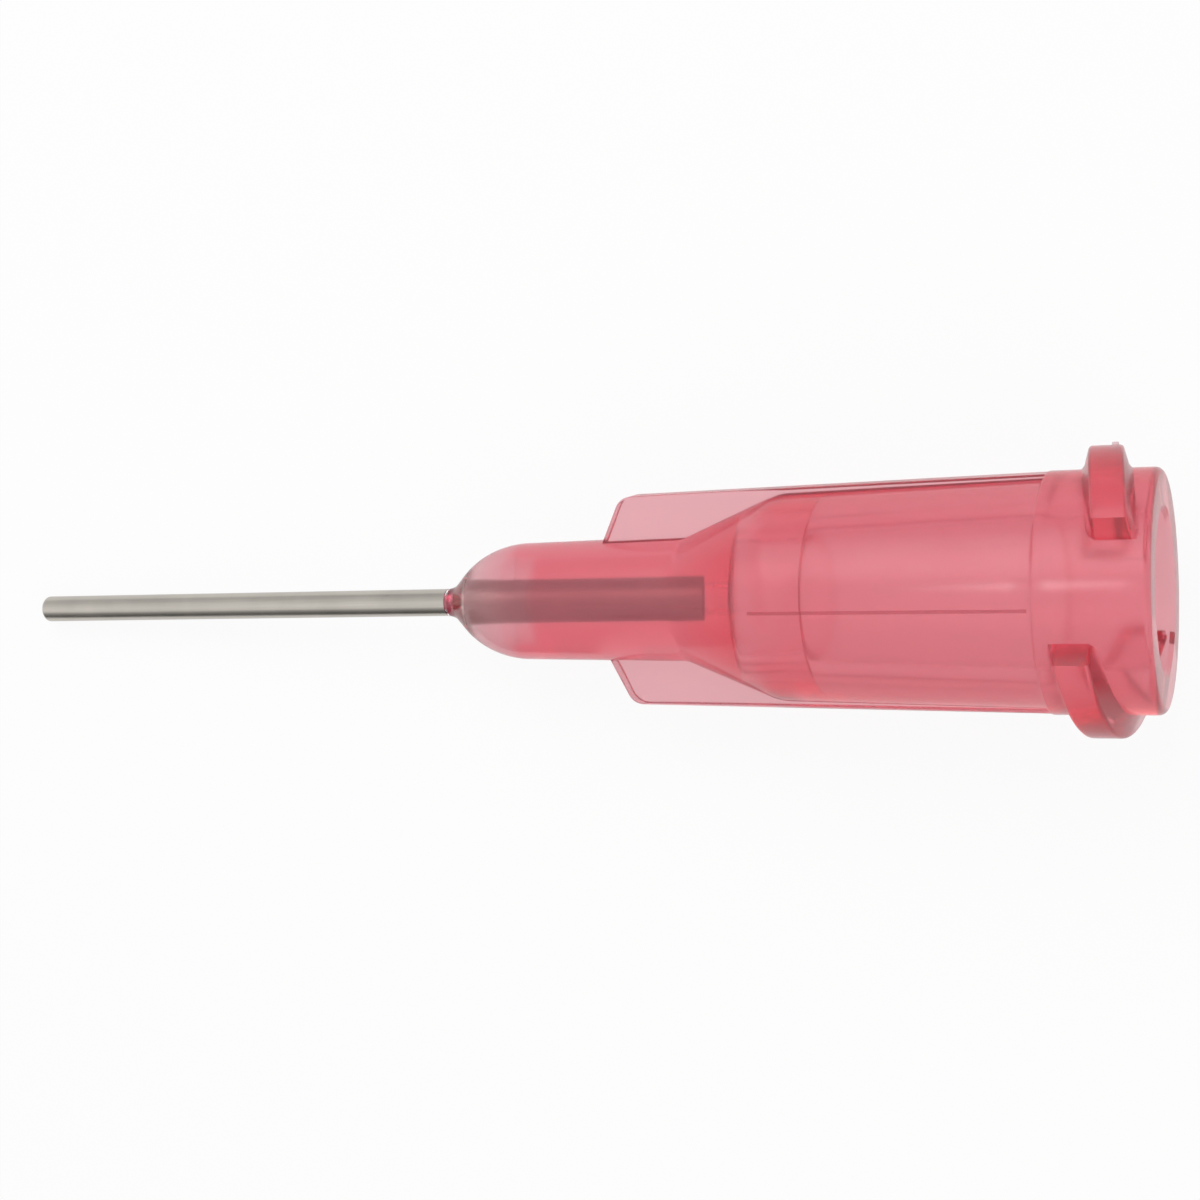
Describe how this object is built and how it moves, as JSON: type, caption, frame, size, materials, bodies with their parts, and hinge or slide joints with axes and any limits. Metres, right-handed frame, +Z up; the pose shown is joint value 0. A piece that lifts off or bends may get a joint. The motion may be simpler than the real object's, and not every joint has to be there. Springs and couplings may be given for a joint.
{
  "type": "dispensing needle tip",
  "caption": "Straight blunt steel dispensing needle bonded in a translucent pink luer-lock hub with two flat wings, lying as it comes to rest.",
  "frame": {"origin": "on the surface the part lies on, under the middle of its length", "axes": "+X from the needle's free end towards the hub's open end, +Z up off the surface, the two wings about level along Y"},
  "size_m": [0.036, 0.0079, 0.0073],
  "materials": {
    "hub_plastic": "translucent pink moulded polypropylene, smooth",
    "needle_steel": "drawn stainless steel tube with fine lengthwise lines",
    "bond": "clear cured adhesive"
  },
  "bodies": {
    "root": {"hub": "hub_plastic", "cannula": "needle_steel", "adhesive": "bond"}
  },
  "joints": []
}
